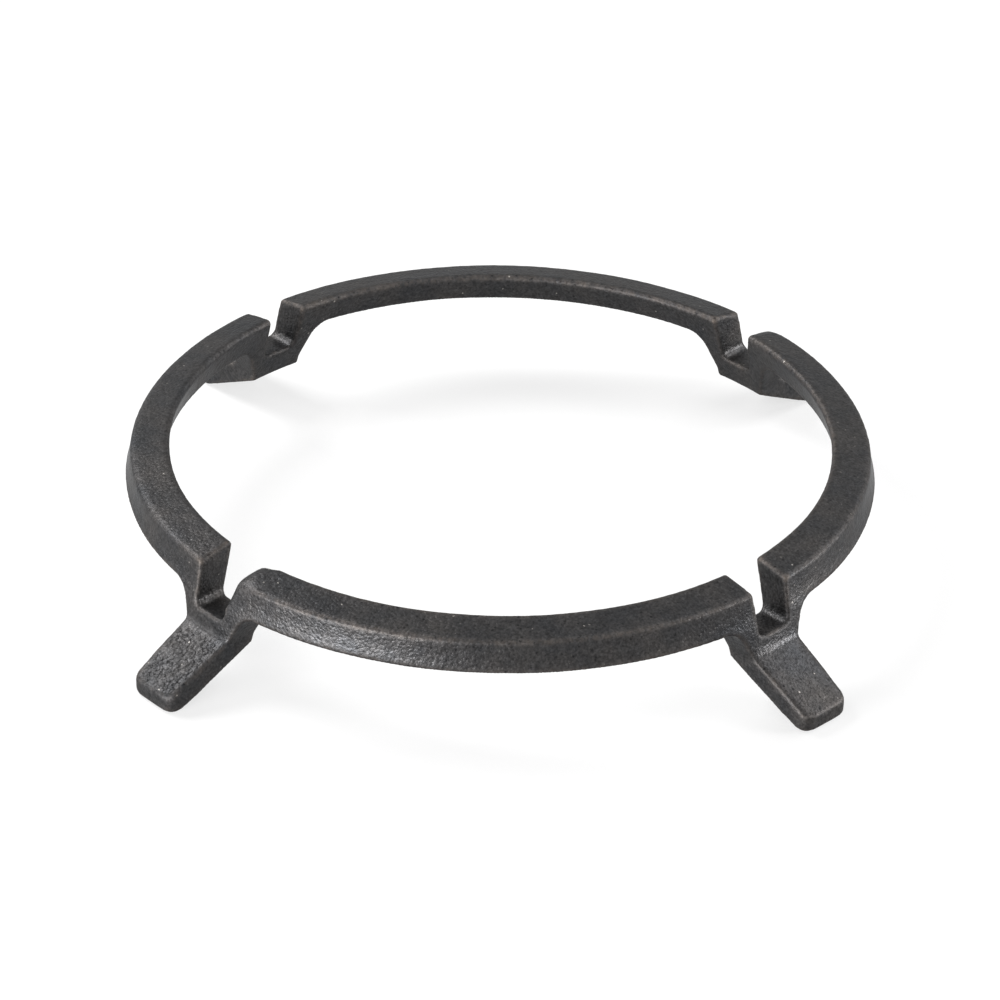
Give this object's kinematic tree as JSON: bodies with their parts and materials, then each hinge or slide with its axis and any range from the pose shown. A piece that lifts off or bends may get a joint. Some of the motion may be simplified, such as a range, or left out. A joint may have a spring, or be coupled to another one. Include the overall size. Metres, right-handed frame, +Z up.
{
  "type": "wok ring",
  "caption": "Round cast-iron ring with finger slots and splayed legs that steadies a round-bottomed wok on a hob.",
  "frame": {"origin": "on the ring's axis, in the plane that the feet stand on", "axes": "+Z up along the ring's axis; the legs and slots lie along +X, -X, +Y and -Y"},
  "size_m": [0.2772, 0.2772, 0.0372],
  "materials": {
    "cast_iron": "satin black, fine sand-cast grain, edges worn brown"
  },
  "bodies": {
    "root": {"wok_ring": "cast_iron"}
  },
  "joints": []
}
